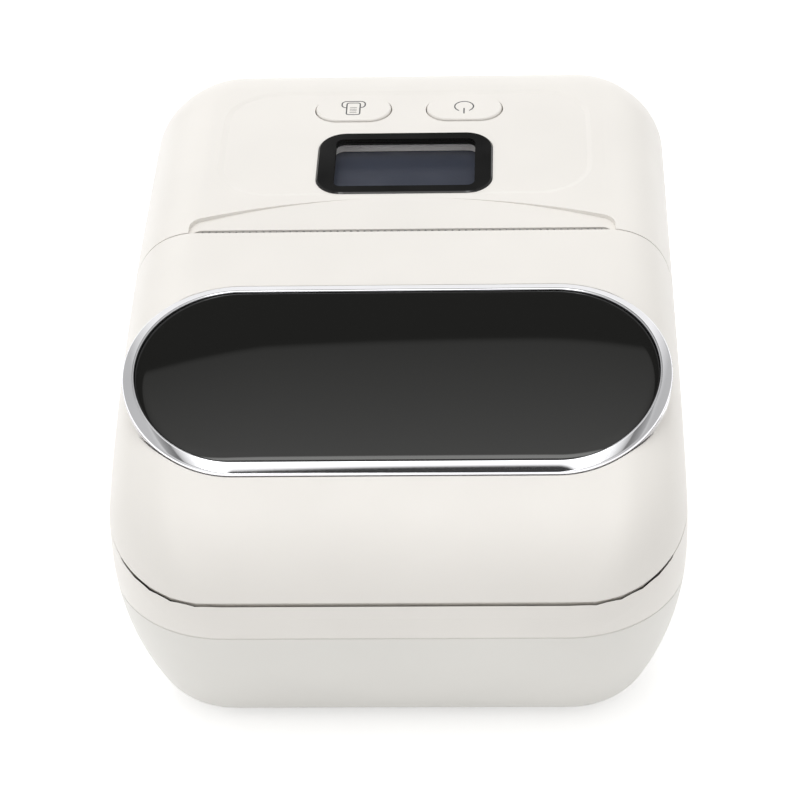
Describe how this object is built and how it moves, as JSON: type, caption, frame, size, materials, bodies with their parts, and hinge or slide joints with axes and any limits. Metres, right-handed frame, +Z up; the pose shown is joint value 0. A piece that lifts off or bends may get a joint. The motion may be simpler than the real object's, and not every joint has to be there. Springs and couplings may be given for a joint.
{
  "type": "portable label printer",
  "caption": "Portable label printer with a hinged roll cover, oval window in a plated ring, paper slot, two pill keys and a small display.",
  "frame": {"origin": "on the ground under the middle of the case", "axes": "+X along the paper slot, +Y from the window end to the key end, +Z up"},
  "size_m": [0.106, 0.1399, 0.0683],
  "materials": {
    "upper_shell": "satin warm white ABS",
    "lower_shell": "satin warm white ABS",
    "plated_ring": "polished plating on plastic",
    "smoked_lens": "dark smoked clear plastic, polished",
    "black_glass": "black-backed clear plastic, polished",
    "display": "unlit display glass",
    "grey_moulding": "moulded grey plastic",
    "key": "satin warm white ABS",
    "circuit_board": "solder-masked board",
    "inner_moulding": "fine matt dark plastic",
    "guide_moulding": "moulded light plastic",
    "gear_plastic": "natural acetal",
    "bush_plastic": "filled black plastic",
    "brass_gear": "cut brass",
    "zinc_sheet": "zinc-plated sheet",
    "steel": "bright steel",
    "ceramic": "glazed ceramic plate, modelled as a hard gloss material",
    "cast_sink": "extruded aluminium",
    "roller_rubber": "ground silicone rubber",
    "motor_can": "plated steel can",
    "battery_wrap": "shrink sleeve",
    "foot_rubber": "matt rubber"
  },
  "bodies": {
    "case": {"bottom_casing": "lower_shell", "upper_casing": "upper_shell", "key_board": "circuit_board", "display_lens": "black_glass", "display_holder": "grey_moulding", "display_module": "display", "chassis": "inner_moulding", "hinge_rod": "steel", "mech_frame": "zinc_sheet", "gear_studs": "steel", "stud_clip": "steel", "stepper_motor": "motor_can", "tear_bar": "steel", "gap_sensor": "circuit_board", "battery_cells": "battery_wrap", "main_board": "circuit_board", "charge_port": "steel", "rubber_feet": "foot_rubber", "casing_screws": "steel", "frame_screws": "steel", "head_pivot_shaft": "steel", "head_springs": "steel"},
    "lid": {"lid_shell": "upper_shell", "ring_bezel": "plated_ring", "window_lens": "smoked_lens", "roller_carrier": "inner_moulding", "platen_bushes": "bush_plastic"},
    "platen_roller": {"platen_rubber": "roller_rubber", "platen_shaft": "steel", "platen_gear": "gear_plastic"},
    "idler": {"idler_gear": "gear_plastic"},
    "double": {"double_gear": "gear_plastic"},
    "motor_rotor": {"motor_gear": "brass_gear", "motor_shaft": "steel"},
    "head": {"print_head": "ceramic", "head_heatsink": "cast_sink"},
    "left_guide": {"guide_left": "guide_moulding"},
    "right_guide": {"guide_right": "guide_moulding"},
    "pinion": {"guide_pinion": "gear_plastic"},
    "print_button": {"print_key": "key", "print_switch_plunger": "grey_moulding"},
    "power_button": {"power_key": "key", "power_switch_plunger": "grey_moulding"}
  },
  "joints": [
    {"name": "lid_hinge", "type": "hinge", "parent": "case", "child": "lid", "pos_m": [0, -0.0595, 0.0385], "axis": [1, 0, 0], "range_deg": [0, 80]},
    {"name": "platen_spin", "type": "hinge", "parent": "lid", "child": "platen_roller", "pos_m": [0, -0.0035, 0.054], "axis": [1, 0, 0], "continuous": true},
    {"name": "idler_spin", "type": "hinge", "parent": "case", "child": "idler", "pos_m": [0, 0.00282, 0.04304], "axis": [1, 0, 0], "continuous": true},
    {"name": "double_gear_spin", "type": "hinge", "parent": "case", "child": "double", "pos_m": [0, 0.01105, 0.03424], "axis": [1, 0, 0], "continuous": true},
    {"name": "motor_spin", "type": "hinge", "parent": "case", "child": "motor_rotor", "pos_m": [0, 0.0245, 0.041], "axis": [1, 0, 0], "continuous": true},
    {"name": "head_pivot", "type": "hinge", "parent": "case", "child": "head", "pos_m": [0, 0.00445, 0.038], "axis": [-1, 0, 0], "range_deg": [0, 2.5], "stiffness_Nm_per_rad": 2, "springref_deg": -3.44, "deforming": ["head_springs"]},
    {"name": "guide_left_slide", "type": "slide", "parent": "case", "child": "left_guide", "axis": [1, 0, 0], "range_m": [0, 0.03]},
    {"name": "guide_right_slide", "type": "slide", "parent": "case", "child": "right_guide", "axis": [-1, 0, 0], "range_m": [0, 0.03]},
    {"name": "guide_pinion_spin", "type": "hinge", "parent": "case", "child": "pinion", "pos_m": [0, -0.031, 0.007], "axis": [0, 0, 1], "range_deg": [0, 288]},
    {"name": "print_key_press", "type": "slide", "parent": "case", "child": "print_button", "axis": [0, 0, -1], "range_m": [0, 0.0005], "stiffness_N_per_m": 800, "springref_m": -0.0006},
    {"name": "power_key_press", "type": "slide", "parent": "case", "child": "power_button", "axis": [0, 0, -1], "range_m": [0, 0.0005], "stiffness_N_per_m": 800, "springref_m": -0.0006}
  ],
  "couplings": [
    {"joint": "idler_spin", "follows": "platen_spin", "ratio": -0.61538},
    {"joint": "double_gear_spin", "follows": "platen_spin", "ratio": 1.1429},
    {"joint": "motor_spin", "follows": "platen_spin", "ratio": -2.9388},
    {"joint": "guide_right_slide", "follows": "guide_left_slide", "ratio": 1},
    {"joint": "guide_pinion_spin", "follows": "guide_left_slide", "rad_per_m": 166.67}
  ]
}
